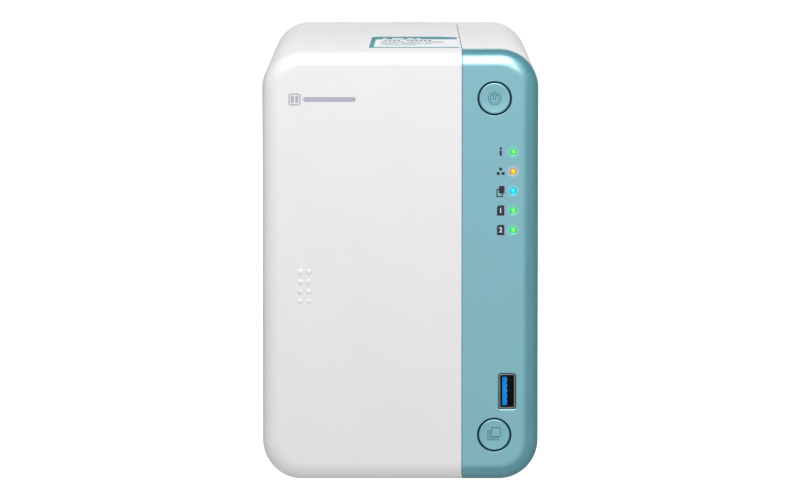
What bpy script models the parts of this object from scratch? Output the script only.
"""Two-bay network attached storage unit, an upright desktop case.

+X is to the right of the front, +Y runs from the front to the back and +Z is up. The origin is on the
table, under the middle of the case. All sizes are in metres. Each visible object is one real piece.
"""

import math

import bmesh
import bpy
from mathutils import Matrix, Vector

# --- Driving dimensions -------------------------------------------------------------------------

WIDTH = 0.105
DEPTH = 0.225
TOP = 0.168
FOOT_HEIGHT = 0.0035
CORNER = 0.015
WALL = 0.0022
GAP = 0.0003

HALF_WIDTH = WIDTH / 2
REAR = DEPTH / 2
GRIP_DOT_HEIGHT = 0.0004
FACE = -DEPTH / 2 + GRIP_DOT_HEIGHT
FACE_FILLET = 0.0067
FRONT_RIM = FACE + 0.0083
SHELL_FRONT = FRONT_RIM + 0.0004
FACE_INSIDE = FACE + WALL

SEAM = 0.0234
SEAM_HALF_GAP = 0.0002

CORNER_STEPS = 8
FILLET_STEPS = 4
ROUND_SIDES = 20
SMALL_SIDES = 12

# Front frame, which the cover and the bezel close over and the shells slide around.
FRAME_INSET = 0.0026
FRAME_FRONT = -0.1064
FRAME_BACK = -0.0990
WINDOW_LEFT, WINDOW_RIGHT = 0.0270, 0.0460
WINDOW_BOTTOM, WINDOW_TOP = 0.0140, 0.1570

# Drive bays: two upright drives side by side behind the cover.
BAY_MIDDLES = (-0.0313, 0.0047)
BAY_WIDTH = 0.0350
BAY_BOTTOM, BAY_TOP = 0.0200, 0.1360
SHEET = 0.0010
CAGE_FRONT, CAGE_REAR = -0.0985, 0.0598
TRAY_CLEARANCE = 0.0006
TRAY_FRONT = -0.1023
TRAY_REAR = 0.0500
TRAY_PLATE = 0.0040
RAIL_HEIGHT = 0.0063
TRAY_WALL = 0.0020

# Drives, 3.5 inch: 101.6 x 147 x 26.1 mm standing on edge.
DRIVE_HEIGHT = 0.1016
DRIVE_LENGTH = 0.1470
DRIVE_FRONT = -0.0970
DRIVE_REAR = DRIVE_FRONT + DRIVE_LENGTH
DRIVE_BOTTOM = (BAY_BOTTOM + BAY_TOP - DRIVE_HEIGHT) / 2
DRIVE_TOP = DRIVE_BOTTOM + DRIVE_HEIGHT

# Tray handles turn about a pivot low on the tray front.
PIVOT_Y, PIVOT_Z = -0.1052, 0.0270
HANDLE_TOP = 0.1310
HANDLE_FRONT = -0.1088
HANDLE_HALF_WIDTH = 0.0138
PIVOT_ROUND = 0.0022
PIN_RADIUS = 0.0014
EAR_THICKNESS = 0.0024

# Controls on the front bezel.
BUTTON_X = 0.0358
POWER_Z = 0.1494
COPY_Z = 0.0210
BUTTON_HOLE = 0.00640
BUTTON_RADIUS = 0.00608
BUTTON_TRAVEL_ROOM = 0.0011
LED_X = 0.0428
LED_TOP_Z = 0.1290
LED_PITCH = 0.00743
LED_NAMES = ("status", "network", "usb_copy", "drive_1", "drive_2")
LED_HOLE = 0.00118
LED_RADIUS = 0.00100
FRONT_BOARD_FRONT, FRONT_BOARD_BACK = -0.0960, -0.0944
SWITCH_TIP = -0.1006

# USB type A receptacle, the same at the front and at the rear.
USB_WIDTH, USB_HEIGHT = 0.0060, 0.0132
USB_SKIN = 0.00035
USB_TONGUE = 0.0018
FRONT_USB_X, FRONT_USB_Z = 0.0407, 0.0376

# Eight raised grip dots near the left edge of the cover, two across and four down.
DOT_XS = (-0.0381, -0.0348)
DOT_TOP_Z, DOT_PITCH = 0.0833, 0.00378
DOT_RADIUS = 0.00105

# Rear panel and what comes through it.
PANEL_FRONT, PANEL_BACK = 0.1080, 0.1092
PORT_END = 0.1096
BOARD_LEFT, BOARD_RIGHT = 0.0264, 0.0280
PORT_X = BOARD_RIGHT + 0.0003
LAN_Z, HDMI_Z, AUDIO_Z, DC_Z, RESET_Z = 0.0980, 0.1200, 0.1390, 0.0245, 0.0420
REAR_USB_ZS = (0.0770, 0.0590)
RESET_X = 0.0330
FAN_X, FAN_Z = -0.0133, 0.0720
FAN_SIZE, FAN_THICKNESS = 0.0700, 0.0150
FAN_BACK = PANEL_FRONT - GAP
FAN_FRONT = FAN_BACK - FAN_THICKNESS
FAN_BORE = 0.0330
FAN_HOLE_OFFSET = 0.0300
SLOT_LEFT, SLOT_RIGHT = -0.0440, 0.0300
SLOT_BOTTOM, SLOT_TOP = 0.1460, 0.1590
CASE_SCREWS = ((-0.0430, 0.0200), (0.0430, 0.0200), (0.0430, 0.1530))

MATERIALS = {
    "white_shell": ((0.87, 0.87, 0.88), 0.32, 0.0),
    "teal_bezel": ((0.24, 0.51, 0.57), 0.30, 0.1),
    "grey_frame": ((0.62, 0.63, 0.65), 0.55, 0.0),
    "dark_plastic": ((0.06, 0.06, 0.07), 0.55, 0.0),
    "sheet_steel": ((0.66, 0.67, 0.68), 0.38, 1.0),
    "cast_aluminium": ((0.58, 0.59, 0.61), 0.45, 1.0),
    "bright_metal": ((0.78, 0.78, 0.78), 0.22, 1.0),
    "board_green": ((0.03, 0.20, 0.11), 0.45, 0.0),
    "usb_blue": ((0.02, 0.28, 0.85), 0.40, 0.0),
    "led_green": ((0.10, 0.90, 0.25), 0.30, 0.0),
    "led_amber": ((0.98, 0.62, 0.08), 0.30, 0.0),
    "led_blue": ((0.03, 0.62, 0.95), 0.30, 0.0),
    "foot_rubber": ((0.05, 0.05, 0.05), 0.85, 0.0),
}

PLANES = {
    "XY": Matrix.Identity(4),
    "XZ": Matrix(((1, 0, 0, 0), (0, 0, -1, 0), (0, 1, 0, 0), (0, 0, 0, 1))),
    "YZ": Matrix(((0, 0, 1, 0), (1, 0, 0, 0), (0, 1, 0, 0), (0, 0, 0, 1))),
}
NORMAL_AXIS = {"XY": 2, "XZ": 1, "YZ": 0}


# --- Scene, materials and objects ---------------------------------------------------------------

def clear_scene():
    for existing in list(bpy.data.objects):
        bpy.data.objects.remove(existing)


def new_collection(name):
    made = bpy.data.collections.new(name)
    bpy.context.scene.collection.children.link(made)
    return made


clear_scene()
PARTS = new_collection("network_storage")
CUTTERS = new_collection("cutters")
CHASSIS = bpy.data.objects.new("chassis", None)
PARTS.objects.link(CHASSIS)


def material(name):
    if name in bpy.data.materials:
        return bpy.data.materials[name]
    colour, roughness, metallic = MATERIALS[name]
    made = bpy.data.materials.new(name)
    made.use_nodes = True
    shader = made.node_tree.nodes["Principled BSDF"]
    shader.inputs["Base Color"].default_value = (*colour, 1.0)
    shader.inputs["Roughness"].default_value = roughness
    shader.inputs["Metallic"].default_value = metallic
    made.diffuse_color = (*colour, 1.0)
    return made


def follow(child, leader):
    """Parents one object to another without moving it, so its location stays its place in the room."""
    child.parent = leader
    child.matrix_parent_inverse = leader.matrix_basis.inverted()


def part(name, mesh, material_name, origin=(0.0, 0.0, 0.0), leader=None):
    """One real piece: a named object with its material, its origin at a point of the whole object.

    It follows the piece that carries it, or else the chassis.
    """
    made = bpy.data.objects.new(name, mesh)
    PARTS.objects.link(made)
    mesh.name = name
    mesh.materials.append(material(material_name))
    if mesh.polygons:
        mesh.transform(Matrix.Translation(-Vector(origin)))
        mesh.shade_smooth()
        mesh.set_sharp_from_angle(angle=math.radians(35))
    made.location = origin
    follow(made, leader or CHASSIS)
    return made


# --- Shapes -------------------------------------------------------------------------------------

def box(low, high):
    """A step that adds a box between two corners to a bmesh."""
    low, high = Vector(low), Vector(high)

    def add(bm):
        place = Matrix.Translation((low + high) / 2) @ Matrix.Diagonal((*(high - low), 1.0))
        bmesh.ops.create_cube(bm, size=1.0, matrix=place)

    return add


def rod(axis, across, radius, start, end, sides=ROUND_SIDES):
    """A step that adds a round bar along an axis. across is its place on the other two axes, in order."""
    turn = {"X": Matrix.Rotation(math.pi / 2, 4, "Y"), "Y": Matrix.Rotation(-math.pi / 2, 4, "X"),
            "Z": Matrix.Identity(4)}[axis]
    index = "XYZ".index(axis)
    centre = list(across)
    centre.insert(index, (start + end) / 2)

    def add(bm):
        bmesh.ops.create_cone(bm, cap_ends=True, segments=sides, radius1=radius, radius2=radius,
                              depth=end - start, matrix=Matrix.Translation(centre) @ turn)

    return add


def mesh_of(*steps):
    """One mesh holding primitives that stand clear of each other."""
    bm = bmesh.new()
    for step in steps:
        step(bm)
    bmesh.ops.recalc_face_normals(bm, faces=bm.faces)
    mesh = bpy.data.meshes.new("shape")
    bm.to_mesh(mesh)
    bm.free()
    return mesh


def rounded_rectangle(x, y, width, height, radius, steps=4):
    """Points of a rectangle with round corners, anticlockwise from the right side."""
    points = []
    for turn, (side_x, side_y) in enumerate(((1, 1), (-1, 1), (-1, -1), (1, -1))):
        centre_x = x + side_x * (width / 2 - radius)
        centre_y = y + side_y * (height / 2 - radius)
        for step in range(steps + 1):
            angle = math.pi / 2 * (turn + step / steps)
            points.append((centre_x + radius * math.cos(angle), centre_y + radius * math.sin(angle)))
    return points


def rectangle(left, bottom, right, top):
    return [(left, bottom), (right, bottom), (right, top), (left, top)]


def circle(x, y, radius, sides=ROUND_SIDES, phase=0.0):
    angles = [phase + 2 * math.pi * step / sides for step in range(sides)]
    return [(x + radius * math.cos(angle), y + radius * math.sin(angle)) for angle in angles]


def plate(plane, outlines, start, end):
    """A flat outline, with holes for the outlines inside it, given its thickness from start to end."""
    curve = bpy.data.curves.new("outline", "CURVE")
    curve.dimensions = "2D"
    curve.fill_mode = "BOTH"
    curve.extrude = (end - start) / 2
    for outline in outlines:
        spline = curve.splines.new("POLY")
        spline.points.add(len(outline) - 1)
        spline.use_cyclic_u = True
        for point, (x, y) in zip(spline.points, outline):
            point.co = (x, y, 0.0, 1.0)
    drawn = bpy.data.objects.new("outline", curve)
    CUTTERS.objects.link(drawn)
    graph = bpy.context.evaluated_depsgraph_get()
    mesh = bpy.data.meshes.new_from_object(drawn.evaluated_get(graph))
    bpy.data.objects.remove(drawn)
    bm = bmesh.new()
    bm.from_mesh(mesh)
    bmesh.ops.remove_doubles(bm, verts=bm.verts, dist=1e-6)
    # Holes that line up leave flat triangles with no area, so the triangles of both caps are remade.
    caps = {f for f in bm.faces if len({round(v.co.z, 6) for v in f.verts}) == 1}
    inner = [e for e in bm.edges if len(e.link_faces) == 2 and caps.issuperset(e.link_faces)]
    bmesh.ops.beautify_fill(bm, faces=list(caps), edges=inner, method="AREA")
    bmesh.ops.recalc_face_normals(bm, faces=bm.faces)
    bm.to_mesh(mesh)
    bm.free()
    offset = Vector((0.0, 0.0, 0.0))
    offset[NORMAL_AXIS[plane]] = (start + end) / 2
    mesh.transform(Matrix.Translation(offset) @ PLANES[plane])
    return mesh


def boolean(target, operation, mesh):
    """Cuts a helper mesh from a piece, or joins one to it."""
    helper = bpy.data.objects.new(f"{target.name}_{operation.lower()}", mesh)
    helper.hide_render = True
    helper.display_type = "WIRE"
    CUTTERS.objects.link(helper)
    follow(helper, target)
    modifier = target.modifiers.new(operation.title(), "BOOLEAN")
    modifier.operation = operation
    modifier.solver = "EXACT"
    modifier.object = helper
    return target


def cut(target, *steps):
    return boolean(target, "DIFFERENCE", mesh_of(*steps))


def join(target, *steps):
    return boolean(target, "UNION", mesh_of(*steps))


def bevel(target, width, segments=1):
    """Rounds or chamfers every sharp edge of a piece."""
    modifier = target.modifiers.new("Bevel", "BEVEL")
    modifier.width = width
    modifier.segments = segments
    modifier.limit_method = "ANGLE"
    modifier.angle_limit = math.radians(50)
    return target


def turned(name, profile, location, turn_x, material_name, steps=ROUND_SIDES):
    """A turned piece. The profile runs from its tip on the axis, down its outer side, back to the axis."""
    mesh = bpy.data.meshes.new(name)
    corners = [(radius, 0.0, height) for radius, height in profile]
    mesh.from_pydata(corners, [(i, i + 1) for i in range(len(corners) - 1)], [])
    made = part(name, mesh, material_name, location)
    made.rotation_euler = (turn_x, 0.0, 0.0)
    screw = made.modifiers.new("Screw", "SCREW")
    screw.axis = "Z"
    screw.steps = steps
    screw.render_steps = steps
    screw.use_merge_vertices = True
    screw.merge_threshold = 1e-5
    screw.use_smooth_shade = True
    return made


# --- Outer case ---------------------------------------------------------------------------------

def case_block(front, back):
    """The whole case as a closed block between two depths, with its four long edges rounded."""
    bm = bmesh.new()
    box((-HALF_WIDTH, front, FOOT_HEIGHT), (HALF_WIDTH, back, TOP))(bm)
    long_edges = [e for e in bm.edges if abs((e.verts[0].co - e.verts[1].co).y) > 1e-6]
    bmesh.ops.bevel(bm, geom=long_edges, offset=CORNER, segments=CORNER_STEPS, profile=0.5,
                    affect="EDGES")
    return bm


def keep_side(bm, keep_left, close):
    """Cuts the block at the seam and keeps one side of it, closing the cut if asked."""
    side = -1.0 if keep_left else 1.0
    place = (SEAM + side * SEAM_HALF_GAP, 0.0, 0.0)
    geometry = bm.verts[:] + bm.edges[:] + bm.faces[:]
    found = bmesh.ops.bisect_plane(bm, geom=geometry, plane_co=place, plane_no=(-side, 0.0, 0.0),
                                   clear_outer=True)
    if close:
        rim = [item for item in found["geom_cut"] if isinstance(item, bmesh.types.BMEdge)]
        bmesh.ops.edgeloop_fill(bm, edges=rim)
    bmesh.ops.recalc_face_normals(bm, faces=bm.faces)


def open_at(bm, *depths):
    """Takes away the flat faces that lie at the given depths."""
    flat = [f for f in bm.faces if any(all(abs(v.co.y - y) < 1e-6 for v in f.verts) for y in depths)]
    bmesh.ops.delete(bm, geom=flat, context="FACES")


def moulded(name, bm, material_name, origin=(0.0, 0.0, 0.0)):
    """A moulded cover: an open surface thickened inwards by the wall."""
    mesh = bpy.data.meshes.new(name)
    bm.to_mesh(mesh)
    bm.free()
    made = part(name, mesh, material_name, origin)
    solidify = made.modifiers.new("Solidify", "SOLIDIFY")
    solidify.thickness = WALL
    solidify.offset = -1.0
    solidify.use_even_offset = True
    solidify.use_quality_normals = True
    return made


def case_shell(name, keep_left):
    """One of the two C-shaped shells that meet at the seam along the top and the bottom."""
    bm = case_block(SHELL_FRONT, REAR)
    open_at(bm, SHELL_FRONT, REAR)
    keep_side(bm, keep_left, close=False)
    return moulded(name, bm, "white_shell")


def front_module(name, keep_left, material_name):
    """The cover or the bezel: a shallow dish with a rounded front edge, closed at the seam."""
    middle_x = (SEAM - HALF_WIDTH) / 2 if keep_left else (SEAM + HALF_WIDTH) / 2
    bm = case_block(FACE, FRONT_RIM)
    face_edges = [e for e in bm.edges if all(abs(v.co.y - FACE) < 1e-6 for v in e.verts)]
    bmesh.ops.bevel(bm, geom=face_edges, offset=FACE_FILLET, segments=FILLET_STEPS, profile=0.5,
                    affect="EDGES")
    keep_side(bm, keep_left, close=True)
    open_at(bm, FRONT_RIM)
    return moulded(name, bm, material_name, (middle_x, FRONT_RIM, (FOOT_HEIGHT + TOP) / 2))


def seam_relief(keep_left, front):
    """The space behind the seam wall that a cover or bezel leaves free for what is behind it."""
    inner, outer = (SEAM - WALL - 0.0010, SEAM) if keep_left else (SEAM, SEAM + WALL + 0.0010)
    margin = WALL + 0.0002
    return box((inner, front, FOOT_HEIGHT + margin), (outer, FRONT_RIM + 0.001, TOP - margin))


def frame_outline(inset):
    return rounded_rectangle(0.0, (TOP + FOOT_HEIGHT) / 2, WIDTH - 2 * inset,
                             TOP - FOOT_HEIGHT - 2 * inset, CORNER - inset, CORNER_STEPS)


FOOT_PLACES = {"front_left": (-0.036, -0.067), "front_right": (0.036, -0.067),
               "rear_left": (-0.036, 0.088), "rear_right": (0.036, 0.088)}
FOOT_STEM, FOOT_HOLE = 0.0020, 0.0024

# Air slots under the drives, through the left shell and the base plate.
INTAKE_LEFT, INTAKE_RIGHT = -0.0300, 0.0140
INTAKE_DEPTHS = [(y, y + 0.0034) for y in (-0.0520 + 0.0090 * number for number in range(12))]


def foot_holes(side):
    return [rod("Z", (x, y), FOOT_HOLE, 0.0, 0.0090, SMALL_SIDES)
            for name, (x, y) in FOOT_PLACES.items() if name.endswith(side)]


def build_shells():
    left = case_shell("left_shell", keep_left=True)
    slots = [box((INTAKE_LEFT, front, 0.0), (INTAKE_RIGHT, back, 0.0090)) for front, back in INTAKE_DEPTHS]
    cut(left, *slots, *foot_holes("left"))
    right = case_shell("right_shell", keep_left=False)
    cut(right, *foot_holes("right"))


def build_feet():
    pad, stem_top = 0.0072, FOOT_HEIGHT + WALL + 0.0016
    profile = [(0.0, stem_top), (FOOT_STEM * 0.7, stem_top), (FOOT_STEM, stem_top - 0.0008),
               (FOOT_STEM, FOOT_HEIGHT - GAP), (pad, FOOT_HEIGHT - GAP), (pad, 0.0010),
               (pad - 0.0010, 0.0), (0.0, 0.0)]
    for name, (x, y) in FOOT_PLACES.items():
        turned(f"foot_{name}", profile, (x, y, 0.0), 0.0, "foot_rubber", 16)


PRONG_XS = (-0.0370, 0.0080)
PRONG_ZS = (0.0120, 0.1560)
PRONG_HALF_WIDTH, PRONG_HALF_HEIGHT = 0.0040, 0.0012
PRONG_BACK = -0.1010


def build_front_cover():
    """The plain cover over the drive bays, with grip dots in front and locating prongs behind."""
    cover = front_module("front_cover", keep_left=True, material_name="white_shell")
    prongs = [box((x - PRONG_HALF_WIDTH, FACE_INSIDE - 0.0006, z - PRONG_HALF_HEIGHT),
                  (x + PRONG_HALF_WIDTH, PRONG_BACK, z + PRONG_HALF_HEIGHT))
              for x in PRONG_XS for z in PRONG_ZS]
    dots = [rod("Y", (x, DOT_TOP_Z - row * DOT_PITCH), DOT_RADIUS, FACE - GRIP_DOT_HEIGHT, FACE + 0.0005, 8)
            for x in DOT_XS for row in range(4)]
    join(cover, *prongs, *dots)
    cut(cover, seam_relief(keep_left=True, front=HANDLE_FRONT - GAP))


def build_front_bezel():
    """The coloured strip that carries the buttons, the indicator lights and the front port."""
    bezel = front_module("front_bezel", keep_left=False, material_name="teal_bezel")
    front, back = FACE - 0.001, FACE_INSIDE + 0.001
    holes = [rod("Y", (BUTTON_X, z), BUTTON_HOLE, front, back, 24) for z in (POWER_Z, COPY_Z)]
    holes += [rod("Y", (LED_X, LED_TOP_Z - i * LED_PITCH), LED_HOLE, front, back, SMALL_SIDES)
              for i in range(len(LED_NAMES))]
    half_width, half_height = USB_WIDTH / 2 + GAP, USB_HEIGHT / 2 + GAP
    holes.append(box((FRONT_USB_X - half_width, front, FRONT_USB_Z - half_height),
                     (FRONT_USB_X + half_width, back, FRONT_USB_Z + half_height)))
    cut(bezel, *holes, seam_relief(keep_left=False, front=FRAME_FRONT - GAP))


BOARD_POSTS = ((0.0256, 0.0500), (0.0256, 0.1300), (0.0474, 0.0500), (0.0474, 0.1300))


def build_front_frame():
    """The inner front frame: bay mouths on the left, a window for the front board on the right."""
    mouths = [rectangle(x - BAY_WIDTH / 2, BAY_BOTTOM, x + BAY_WIDTH / 2, BAY_TOP) for x in BAY_MIDDLES]
    window = rectangle(WINDOW_LEFT, WINDOW_BOTTOM, WINDOW_RIGHT, WINDOW_TOP)
    prong_slots = [rectangle(x - PRONG_HALF_WIDTH - GAP, z - PRONG_HALF_HEIGHT - GAP,
                             x + PRONG_HALF_WIDTH + GAP, z + PRONG_HALF_HEIGHT + GAP)
                   for x in PRONG_XS for z in PRONG_ZS]
    mesh = plate("XZ", [frame_outline(FRAME_INSET), *mouths, window, *prong_slots], FRAME_FRONT, FRAME_BACK)
    frame = part("front_frame", mesh, "grey_frame")
    posts = [rod("Y", place, 0.0013, FRAME_BACK - 0.0005, FRONT_BOARD_FRONT - GAP, 8)
             for place in BOARD_POSTS]
    join(frame, *posts)


def build_base_plate():
    """The steel floor of the chassis, with four pressed posts that carry the drive cage."""
    floor_bottom = FOOT_HEIGHT + WALL + 0.0016 + GAP
    floor_top = floor_bottom + SHEET
    slots = [rectangle(INTAKE_LEFT, front, INTAKE_RIGHT, back) for front, back in INTAKE_DEPTHS]
    mesh = plate("XY", [rectangle(-0.0405, -0.0980, 0.0405, 0.1070), *slots], floor_bottom, floor_top)
    base = part("base_plate", mesh, "sheet_steel")
    posts = [rod("Z", (x, y), 0.0030, floor_bottom + 0.0002, BAY_BOTTOM - SHEET - GAP, SMALL_SIDES)
             for x in (-0.0375, 0.0190) for y in (-0.0850, 0.0520)]
    join(base, *posts)


# --- Buttons, lights and the front board --------------------------------------------------------

def build_button(name, z):
    """A round push button: a shallow dished cap, a flange behind the bezel and a stem to the switch."""
    face, flange = FACE, FACE_INSIDE + GAP
    stem_end = SWITCH_TIP - BUTTON_TRAVEL_ROOM
    profile = [(0.0, -face - 0.0004), (BUTTON_RADIUS * 0.75, -face - 0.00012),
               (BUTTON_RADIUS - 0.0004, -face), (BUTTON_RADIUS, -face - 0.0004),
               (BUTTON_RADIUS, -flange), (BUTTON_RADIUS + 0.0010, -flange),
               (BUTTON_RADIUS + 0.0010, -flange - 0.0010), (0.0020, -flange - 0.0010),
               (0.0020, -stem_end), (0.0, -stem_end)]
    turned(name, profile, (BUTTON_X, 0.0, z), math.pi / 2, "teal_bezel", 24)


def build_front_board():
    board = plate("XZ", [rectangle(0.0248, 0.0150, 0.0486, 0.1550)], FRONT_BOARD_FRONT, FRONT_BOARD_BACK)
    part("front_board", board, "board_green")
    for name, z in (("power_switch", POWER_Z), ("copy_switch", COPY_Z)):
        body_front = SWITCH_TIP + 0.0012
        body = box((BUTTON_X - 0.003, body_front, z - 0.003),
                   (BUTTON_X + 0.003, FRONT_BOARD_FRONT - GAP, z + 0.003))
        switch = part(name, mesh_of(body), "dark_plastic")
        join(switch, rod("Y", (BUTTON_X, z), 0.0017, SWITCH_TIP, body_front + 0.0005, SMALL_SIDES))


def build_light_pipes():
    """Five light guides, each from a front hole back to the front board, with a domed tip."""
    tip = -(FACE + 0.0001)
    back = -(FRONT_BOARD_FRONT - 0.0012)
    profile = [(0.0, tip), (LED_RADIUS * 0.7, tip - 0.00015), (LED_RADIUS, tip - 0.0006),
               (LED_RADIUS, back), (0.0, back)]
    colours = {"network": "led_amber", "usb_copy": "led_blue"}
    for i, name in enumerate(LED_NAMES):
        turned(f"{name}_light", profile, (LED_X, 0.0, LED_TOP_Z - i * LED_PITCH), math.pi / 2,
               colours.get(name, "led_green"), SMALL_SIDES)


def build_usb(name, left, z, mouth, mouth_faces):
    """A USB type A receptacle: a folded metal shell and a plastic insert with the contact tongue.

    mouth is the depth of its open end, and mouth_faces is -1 if that end faces the front.
    """
    length, block = 0.0140, 0.0030
    far_end = mouth - mouth_faces * length
    x = left + USB_WIDTH / 2
    outer = rounded_rectangle(x, z, USB_WIDTH, USB_HEIGHT, 0.0009, 3)
    inner = rounded_rectangle(x, z, USB_WIDTH - 2 * USB_SKIN, USB_HEIGHT - 2 * USB_SKIN, 0.0006, 3)
    shell = plate("XZ", [outer, inner], min(mouth, far_end), max(mouth, far_end))
    part(f"{name}_shell", shell, "bright_metal")
    margin = USB_SKIN + 0.0002
    block_ends = sorted((far_end, far_end + mouth_faces * block))
    tongue_ends = sorted((far_end + mouth_faces * (block - 0.0005), mouth - mouth_faces * 0.0010))
    insert = part(f"{name}_insert", mesh_of(box(
        (left + margin, block_ends[0], z - USB_HEIGHT / 2 + margin),
        (left + USB_WIDTH - margin, block_ends[1], z + USB_HEIGHT / 2 - margin))), "usb_blue")
    tongue_left = left + 0.0011
    join(insert, box((tongue_left, tongue_ends[0], z - 0.0055),
                     (tongue_left + USB_TONGUE, tongue_ends[1], z + 0.0055)))


# --- Drive cage, trays and drives ---------------------------------------------------------------

def build_drive_cage():
    """Folded steel around both bays, with a middle wall and lightening windows."""
    left, right = BAY_MIDDLES[0] - BAY_WIDTH / 2, BAY_MIDDLES[1] + BAY_WIDTH / 2
    outer = rectangle(left - SHEET, BAY_BOTTOM - SHEET, right + SHEET, BAY_TOP + SHEET)
    bays = [rectangle(x - BAY_WIDTH / 2, BAY_BOTTOM, x + BAY_WIDTH / 2, BAY_TOP) for x in BAY_MIDDLES]
    cage = part("drive_cage", plate("XZ", [outer, *bays], CAGE_FRONT, CAGE_REAR), "sheet_steel")
    windows = [box((left - 0.005, y, z), (right + 0.005, y + 0.0200, z + 0.0200))
               for y in (-0.0840, -0.0520, -0.0200, 0.0120) for z in (0.0300, 0.0680, 0.1060)]
    cut(cage, *windows)


def build_tray(number, middle):
    """A drive sled: a front plate with vents, two rails, one side wall and ears for the handle."""
    half = BAY_WIDTH / 2 - TRAY_CLEARANCE
    bottom, top = BAY_BOTTOM + TRAY_CLEARANCE, BAY_TOP - TRAY_CLEARANCE
    left, right = middle - half, middle + half
    rail_right = right - 0.0030
    section = [(left, bottom), (rail_right, bottom), (rail_right, bottom + RAIL_HEIGHT),
               (left + TRAY_WALL, bottom + RAIL_HEIGHT), (left + TRAY_WALL, top - RAIL_HEIGHT),
               (rail_right, top - RAIL_HEIGHT), (rail_right, top), (left, top)]
    front_plate_back = TRAY_FRONT + TRAY_PLATE
    sled = plate("XZ", [section], front_plate_back - 0.0005, TRAY_REAR)
    tray = part(f"tray_{number}", sled, "dark_plastic", (middle, TRAY_FRONT, bottom))
    join(tray, box((left, TRAY_FRONT, bottom), (right, front_plate_back, top)))
    ears = [box((x, HANDLE_FRONT + 0.0002, bottom), (x + EAR_THICKNESS, TRAY_FRONT + 0.0010, bottom + 0.0125))
            for x in (left, right - EAR_THICKNESS)]
    join(tray, *ears)
    vents = [box((middle + x, TRAY_FRONT - 0.001, z),
                 (middle + x + 0.0080, front_plate_back + 0.001, z + 0.0030))
             for x in (-0.0120, -0.0030, 0.0060) for z in (0.044 + 0.008 * row for row in range(8))]
    windows = [box((left - 0.001, y, z), (left + TRAY_WALL + 0.001, y + 0.0200, z + 0.0200))
               for y in (-0.0840, -0.0520, -0.0200, 0.0120) for z in (0.0400, 0.0680, 0.0960)]
    pivot_bore = rod("X", (PIVOT_Y, PIVOT_Z), PIN_RADIUS + 0.00015, left - 0.001, right + 0.001, SMALL_SIDES)
    cut(tray, *vents, *windows, pivot_bore)
    return tray


LATCH_HALF_WIDTH, LATCH_BOTTOM, LATCH_TOP = 0.0060, 0.1180, 0.1270


def build_tray_handle(number, middle, tray):
    """The lever on a tray front: a slotted slab that turns on two stub pins, with a catch near its top."""
    slab_back = -0.1030
    side = [(slab_back, HANDLE_TOP), (HANDLE_FRONT, HANDLE_TOP), (HANDLE_FRONT, PIVOT_Z + 0.0032)]
    side += [(PIVOT_Y + PIVOT_ROUND * math.cos(angle), PIVOT_Z + PIVOT_ROUND * math.sin(angle))
             for angle in (math.radians(200 + 20 * step) for step in range(9))]
    slab = plate("YZ", [side], middle - HANDLE_HALF_WIDTH, middle + HANDLE_HALF_WIDTH)
    handle = part(f"tray_{number}_handle", slab, "grey_frame", (middle, PIVOT_Y, PIVOT_Z), tray)
    pin_reach = BAY_WIDTH / 2 - TRAY_CLEARANCE - 0.0003
    join(handle, rod("X", (PIVOT_Y, PIVOT_Z), PIN_RADIUS, middle - pin_reach, middle + pin_reach,
                     SMALL_SIDES))
    pocket = box((middle - LATCH_HALF_WIDTH - GAP, HANDLE_FRONT - 0.001, LATCH_BOTTOM - GAP),
                 (middle + LATCH_HALF_WIDTH + GAP, slab_back + 0.001, LATCH_TOP + GAP))
    slots = [box((middle - 0.0095, HANDLE_FRONT - 0.001, z), (middle + 0.0095, slab_back + 0.001, z + 0.0026))
             for z in (0.040 + 0.008 * row for row in range(9))]
    cut(handle, pocket, *slots)
    catch = box((middle - LATCH_HALF_WIDTH, HANDLE_FRONT, LATCH_BOTTOM),
                (middle + LATCH_HALF_WIDTH, HANDLE_FRONT + 0.0052, LATCH_TOP))
    catch_origin = (middle, HANDLE_FRONT, (LATCH_BOTTOM + LATCH_TOP) / 2)
    bevel(part(f"tray_{number}_catch", mesh_of(catch), "teal_bezel", catch_origin, handle), 0.0005)


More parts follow.
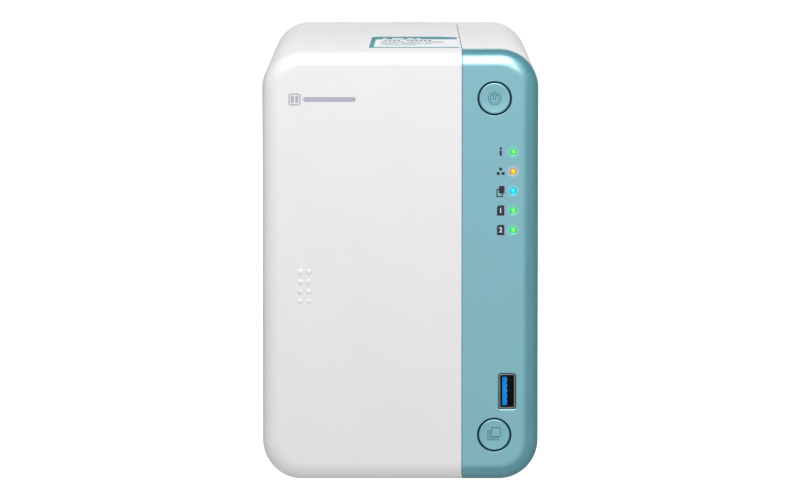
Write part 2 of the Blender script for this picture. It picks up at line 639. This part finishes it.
def build_drive(number, middle, tray):
    """A 3.5 inch hard drive: a cast base with its disc pocket and hub, a stamped lid and a circuit board."""
    origin = (middle, DRIVE_FRONT, DRIVE_BOTTOM)
    left = middle - 0.0144
    lid_right, base_left = left + 0.0012, left + 0.0015
    base_right = left + 0.0237
    board_left = base_right + GAP
    base = part(f"drive_{number}_base", mesh_of(
        box((base_left, DRIVE_FRONT, DRIVE_BOTTOM), (base_right, DRIVE_REAR, DRIVE_TOP))),
        "cast_aluminium", origin, tray)
    bevel(base, 0.0012, 2)
    cut(base, box((base_right - 0.0066, DRIVE_REAR - 0.0080, SOCKET_BOTTOM - 0.0010),
                  (base_right + 0.001, DRIVE_REAR + 0.001, SOCKET_TOP + 0.0010)))
    disc_y, disc_z = DRIVE_FRONT + 0.0520, (DRIVE_BOTTOM + DRIVE_TOP) / 2
    pocket = rounded_rectangle(disc_y, disc_z, 0.0960, 0.0950, 0.0340, 5)
    boolean(base, "DIFFERENCE", plate("YZ", [pocket], base_left - 0.001, base_left + 0.0120))
    join(base, rod("X", (disc_y, disc_z), 0.0125, base_left + 0.0004, base_left + 0.0125))
    lid = plate("YZ", [rounded_rectangle((DRIVE_FRONT + DRIVE_REAR) / 2, (DRIVE_BOTTOM + DRIVE_TOP) / 2,
                                         DRIVE_LENGTH - 0.006, DRIVE_HEIGHT - 0.004, 0.008)], left, lid_right)
    part(f"drive_{number}_lid", lid, "sheet_steel", origin, tray)
    board_outline = [(-0.0300, DRIVE_BOTTOM + 0.003), (DRIVE_REAR - 0.0020, DRIVE_BOTTOM + 0.003),
                     (DRIVE_REAR - 0.0020, DRIVE_TOP - 0.003), (0.0050, DRIVE_TOP - 0.003),
                     (-0.0300, DRIVE_BOTTOM + 0.060)]
    board = plate("YZ", [board_outline], board_left, board_left + 0.0014)
    part(f"drive_{number}_board", board, "board_green", origin, tray)


SOCKET_BOTTOM, SOCKET_TOP = 0.0840, 0.1240
BACKPLANE_FRONT = CAGE_REAR + GAP
BACKPLANE_BACK = BACKPLANE_FRONT + 0.0016


def build_backplane():
    """The board behind the cage that the drives plug into, cut away for the air that the fan draws."""
    airways = [rectangle(x - 0.0110, z, x + 0.0130, z + 0.0220)
               for x in BAY_MIDDLES for z in (0.0280, 0.0560)]
    outline = rectangle(-0.0485, 0.0200, 0.0220, 0.1360)
    board = plate("XZ", [outline, *airways], BACKPLANE_FRONT, BACKPLANE_BACK)
    part("backplane", board, "board_green")
    for number, middle in enumerate(BAY_MIDDLES, 1):
        right = middle + 0.0090
        socket = box((right - 0.0050, DRIVE_REAR - 0.0070, SOCKET_BOTTOM),
                     (right, BACKPLANE_FRONT - GAP, SOCKET_TOP))
        part(f"drive_socket_{number}", mesh_of(socket), "dark_plastic")


# --- Main board ---------------------------------------------------------------------------------

SPACERS = ((-0.0700, 0.0300), (-0.0700, 0.1250), (0.0450, 0.0300), (0.0450, 0.1250))


def build_main_board():
    """The main board stands upright beside the drive cage on four brass spacers."""
    mesh = plate("YZ", [rectangle(-0.0880, 0.0130, 0.1040, 0.1480)], BOARD_LEFT, BOARD_RIGHT)
    board = part("main_board", mesh, "board_green")
    cage_side = BAY_MIDDLES[1] + BAY_WIDTH / 2 + SHEET
    join(board, *[rod("X", place, 0.0025, cage_side + GAP, BOARD_LEFT + 0.0004, 6) for place in SPACERS])
    build_heatsink()
    build_memory()
    mesh = mesh_of(rod("X", (0.0600, 0.1200), 0.0100, PORT_X, PORT_X + 0.0032))
    bevel(part("coin_cell", mesh, "bright_metal"), 0.0004)


def build_heatsink():
    """A finned heatsink, with a pedestal that reaches down to the processor."""
    base_left = PORT_X + 0.0014 + GAP
    base_right = base_left + 0.0030
    front, back, bottom, top = -0.0430, 0.0030, 0.0670, 0.1130
    sink = part("heatsink", mesh_of(box((base_left, front, bottom), (base_right, back, top))),
                "cast_aluminium")
    pitch = (top - bottom - 0.0012) / 8
    fins = [box((base_right - 0.0005, front, bottom + i * pitch),
                (base_right + 0.0120, back, bottom + i * pitch + 0.0012)) for i in range(9)]
    join(sink, *fins)
    join(sink, box((PORT_X, -0.0290, 0.0810), (base_left + 0.0005, -0.0110, 0.0990)))


def build_memory():
    """A small-outline memory module held by its long edge in a socket."""
    front, back = -0.0800, -0.0124
    socket_left, socket_right = PORT_X, PORT_X + 0.0055
    module_left, module_right = PORT_X + 0.0022, PORT_X + 0.0034
    socket = part("memory_socket", mesh_of(box((socket_left, front - 0.0015, 0.0180),
                                               (socket_right, back + 0.0015, 0.0240))), "dark_plastic")
    cut(socket, box((module_left - 0.0002, front - 0.0003, 0.0210),
                    (module_right + 0.0002, back + 0.0003, 0.0250)))
    part("memory_module", mesh_of(box((module_left, front, 0.0213), (module_right, back, 0.0510))),
         "board_green")


# --- Rear ports ---------------------------------------------------------------------------------

def build_lan_port():
    """An eight-contact modular jack: a square mouth with the notch for the plug's tab."""
    left, right = PORT_X, PORT_X + 0.0136
    low, high = LAN_Z - 0.0080, LAN_Z + 0.0080
    mouth_left, mouth_right, half = left + 0.0012, left + 0.0082, 0.0059
    notch_right, notch_half = mouth_right + 0.0032, 0.0031
    mouth = [(mouth_left, LAN_Z - half), (mouth_right, LAN_Z - half), (mouth_right, LAN_Z - notch_half),
             (notch_right, LAN_Z - notch_half), (notch_right, LAN_Z + notch_half),
             (mouth_right, LAN_Z + notch_half), (mouth_right, LAN_Z + half), (mouth_left, LAN_Z + half)]
    mesh = plate("XZ", [rectangle(left, low, right, high), mouth], 0.0950, PORT_END)
    port = part("lan_port", mesh, "bright_metal")
    join(port, box((left, 0.0900, low), (right, 0.0955, high)))


HDMI_OUTLINE = [(0.0000, -0.0055), (0.0014, -0.0075), (0.0055, -0.0075), (0.0055, 0.0075),
                (0.0014, 0.0075), (0.0000, 0.0055)]
HDMI_MIDDLE = 0.00275
HDMI_MOUTH_SHRINK = 0.90


def build_hdmi_port():
    """A display port: a tapered metal shell around a contact tongue."""
    outer = [(PORT_X + x, HDMI_Z + z) for x, z in HDMI_OUTLINE]
    inner = [(PORT_X + HDMI_MIDDLE + (x - HDMI_MIDDLE) * 0.80, HDMI_Z + z * HDMI_MOUTH_SHRINK)
             for x, z in HDMI_OUTLINE]
    port = part("display_port", plate("XZ", [outer, inner], 0.1000, PORT_END), "bright_metal")
    join(port, box((PORT_X + 0.0002, 0.0980, HDMI_Z - 0.0054), (PORT_X + 0.0053, 0.1005, HDMI_Z + 0.0054)))
    join(port, box((PORT_X + 0.0022, 0.1002, HDMI_Z - 0.0050),
                   (PORT_X + 0.0034, PORT_END - 0.0015, HDMI_Z + 0.0050)))


def build_round_ports():
    """The power inlet, with its centre pin, and the audio jack."""
    inlet_x = PORT_X + 0.0055
    body = rectangle(PORT_X, DC_Z - 0.0050, PORT_X + 0.0110, DC_Z + 0.0050)
    inlet = part("power_inlet", plate("XZ", [body, circle(inlet_x, DC_Z, 0.0032)], 0.0975, PORT_END - 0.0004),
                 "dark_plastic")
    join(inlet, box((PORT_X, 0.0955, DC_Z - 0.0050), (PORT_X + 0.0110, 0.0980, DC_Z + 0.0050)))
    join(inlet, rod("Y", (inlet_x, DC_Z), 0.0011, 0.0975, 0.1070, SMALL_SIDES))
    jack_x = PORT_X + 0.0040
    body = rectangle(PORT_X, AUDIO_Z - 0.0040, PORT_X + 0.0080, AUDIO_Z + 0.0040)
    bore = circle(jack_x, AUDIO_Z, 0.0018, SMALL_SIDES)
    jack = part("audio_jack", plate("XZ", [body, bore], 0.0980, PANEL_FRONT - GAP), "dark_plastic")
    collar = plate("XZ", [circle(jack_x, AUDIO_Z, 0.0033, 16), bore], PANEL_FRONT - GAP - 0.0005, PORT_END)
    boolean(jack, "UNION", collar)
    join(jack, box((PORT_X, 0.0960, AUDIO_Z - 0.0040), (PORT_X + 0.0080, 0.0985, AUDIO_Z + 0.0040)))


RESET_BUTTON_RADIUS = 0.0010


def build_reset():
    """A small recessed button on its switch, reached through a hole in the rear panel."""
    body = box((PORT_X, 0.0990, RESET_Z - 0.0035), (RESET_X + 0.0035, 0.1035, RESET_Z + 0.0035))
    switch = part("reset_switch", mesh_of(body), "dark_plastic")
    cut(switch, rod("Y", (RESET_X, RESET_Z), RESET_BUTTON_RADIUS + 0.0003, 0.1010, 0.1045, SMALL_SIDES))
    button = mesh_of(rod("Y", (RESET_X, RESET_Z), RESET_BUTTON_RADIUS, 0.1022, PANEL_FRONT + 0.0004,
                         SMALL_SIDES))
    part("reset_button", button, "bright_metal", (RESET_X, PANEL_FRONT, RESET_Z))


# --- Rear panel and fan -------------------------------------------------------------------------

GRILLE_RADIUS = 0.0315
HEX_PITCH, HEX_RADIUS = 0.0086, 0.0041


def grille_holes():
    """Honeycomb holes that fit inside the fan's circle."""
    holes = []
    rows = int(GRILLE_RADIUS / (HEX_PITCH * math.sqrt(3) / 2)) + 1
    for row in range(-rows, rows + 1):
        z = row * HEX_PITCH * math.sqrt(3) / 2
        shift = HEX_PITCH / 2 if row % 2 else 0.0
        for column in range(-rows, rows + 1):
            x = column * HEX_PITCH + shift
            if math.hypot(x, z) + HEX_RADIUS <= GRILLE_RADIUS + 0.0002:
                holes.append(circle(FAN_X + x, FAN_Z + z, HEX_RADIUS, 6, math.pi / 6))
    return holes


def panel_openings():
    """Holes for the ports, the reset pin, the lock slot, the screws and the expansion slot."""
    def around(left, right, low, high):
        return rectangle(left - GAP, low - GAP, right + GAP, high + GAP)

    openings = [around(PORT_X, PORT_X + 0.0136, LAN_Z - 0.0080, LAN_Z + 0.0080),
                around(PORT_X, PORT_X + 0.0055, HDMI_Z - 0.0075, HDMI_Z + 0.0075),
                around(PORT_X, PORT_X + 0.0110, DC_Z - 0.0050, DC_Z + 0.0050),
                circle(PORT_X + 0.0040, AUDIO_Z, 0.0036, 16),
                circle(RESET_X, RESET_Z, RESET_BUTTON_RADIUS + 0.0003, SMALL_SIDES),
                rounded_rectangle(0.0445, 0.0420, 0.0030, 0.0070, 0.0014, 3)]
    openings += [around(PORT_X, PORT_X + USB_WIDTH, z - USB_HEIGHT / 2, z + USB_HEIGHT / 2)
                 for z in REAR_USB_ZS]
    openings.append(rectangle(SLOT_LEFT + 0.0020, SLOT_BOTTOM + 0.0015,
                              SLOT_RIGHT - 0.0020, SLOT_TOP - 0.0015))
    openings += [circle(x, z, SCREW_HOLE, SMALL_SIDES) for x, z in CASE_SCREWS]
    openings += [circle(FAN_X + sx * FAN_HOLE_OFFSET, FAN_Z + sz * FAN_HOLE_OFFSET, 0.0018, 8)
                 for sx in (-1, 1) for sz in (-1, 1)]
    return openings


SCREW_HOLE, SCREW_SHANK, SCREW_HEAD = 0.0018, 0.0014, 0.0029


def build_rear_panel():
    outline = frame_outline(FRAME_INSET)
    mesh = plate("XZ", [outline, *grille_holes(), *panel_openings()], PANEL_FRONT, PANEL_BACK)
    part("rear_panel", mesh, "sheet_steel")
    bracket = plate("XZ", [rectangle(SLOT_LEFT, SLOT_BOTTOM, SLOT_RIGHT, SLOT_TOP)],
                    PANEL_FRONT - GAP - SHEET, PANEL_FRONT - GAP)
    part("expansion_slot_cover", bracket, "sheet_steel")


def build_case_screws():
    """Pan-head screws that hold the rear panel to the shells."""
    head_front, head_back = PANEL_BACK + GAP, PANEL_BACK + 0.0021
    profile = [(0.0, head_back), (SCREW_HEAD * 0.7, head_back - 0.0002), (SCREW_HEAD, head_back - 0.0009),
               (SCREW_HEAD, head_front), (SCREW_SHANK, head_front), (SCREW_SHANK, 0.1010), (0.0, 0.1000)]
    for number, (x, z) in enumerate(CASE_SCREWS, 1):
        turned(f"case_screw_{number}", profile, (x, 0.0, z), -math.pi / 2, "bright_metal", SMALL_SIDES)


HUB_RADIUS, HUB_FRONT, HUB_BACK = 0.0140, FAN_FRONT + 0.0008, FAN_BACK - 0.0042
BLADES, BLADE_TIP, BLADE_CHORD, BLADE_PITCH = 7, 0.0315, 0.0150, math.radians(38)


def blade(number):
    """A step that adds one flat blade, pitched about its own radius."""
    def add(bm):
        root = HUB_RADIUS - 0.0015
        place = (Matrix.Translation((FAN_X, (HUB_FRONT + HUB_BACK) / 2, FAN_Z))
                 @ Matrix.Rotation(2 * math.pi * number / BLADES, 4, "Y")
                 @ Matrix.Translation(((root + BLADE_TIP) / 2, 0.0, 0.0))
                 @ Matrix.Rotation(BLADE_PITCH, 4, "X")
                 @ Matrix.Diagonal((BLADE_TIP - root, 0.0013, BLADE_CHORD, 1.0)))
        bmesh.ops.create_cube(bm, size=1.0, matrix=place)

    return add


def build_fan():
    outline = rounded_rectangle(FAN_X, FAN_Z, FAN_SIZE, FAN_SIZE, 0.0040)
    corners = [circle(FAN_X + sx * FAN_HOLE_OFFSET, FAN_Z + sz * FAN_HOLE_OFFSET, 0.0021, 8)
               for sx in (-1, 1) for sz in (-1, 1)]
    mesh = plate("XZ", [outline, circle(FAN_X, FAN_Z, FAN_BORE, 40), *corners], FAN_FRONT, FAN_BACK)
    frame = part("fan_frame", mesh, "dark_plastic")
    strut_front = FAN_BACK - 0.0030
    join(frame, box((FAN_X - FAN_BORE - 0.001, strut_front, FAN_Z - 0.0013),
                    (FAN_X + FAN_BORE + 0.001, FAN_BACK - 0.0004, FAN_Z + 0.0013)))
    join(frame, box((FAN_X - 0.0013, strut_front, FAN_Z - FAN_BORE - 0.001),
                    (FAN_X + 0.0013, FAN_BACK - 0.0004, FAN_Z + FAN_BORE + 0.001)))
    join(frame, rod("Y", (FAN_X, FAN_Z), 0.0130, strut_front - 0.0006, FAN_BACK - 0.0002, 24))
    hub = mesh_of(rod("Y", (FAN_X, FAN_Z), HUB_RADIUS, HUB_FRONT, HUB_BACK, 28))
    rotor = part("fan_rotor", hub, "dark_plastic", (FAN_X, (HUB_FRONT + HUB_BACK) / 2, FAN_Z), frame)
    join(rotor, *[blade(number) for number in range(BLADES)])


# --- Assembly -----------------------------------------------------------------------------------

def build():
    build_shells()
    build_feet()
    build_front_cover()
    build_front_bezel()
    build_front_frame()
    build_base_plate()
    build_button("power_button", POWER_Z)
    build_button("copy_button", COPY_Z)
    build_front_board()
    build_light_pipes()
    build_usb("front_usb", FRONT_USB_X - USB_WIDTH / 2, FRONT_USB_Z, FACE + 0.0008, -1)
    build_drive_cage()
    for number, middle in enumerate(BAY_MIDDLES, 1):
        tray = build_tray(number, middle)
        build_tray_handle(number, middle, tray)
        build_drive(number, middle, tray)
    build_backplane()
    build_main_board()
    build_lan_port()
    for number, z in enumerate(REAR_USB_ZS, 1):
        build_usb(f"rear_usb_{number}", PORT_X, z, PORT_END, 1)
    build_hdmi_port()
    build_round_ports()
    build_reset()
    build_rear_panel()
    build_case_screws()
    build_fan()


build()
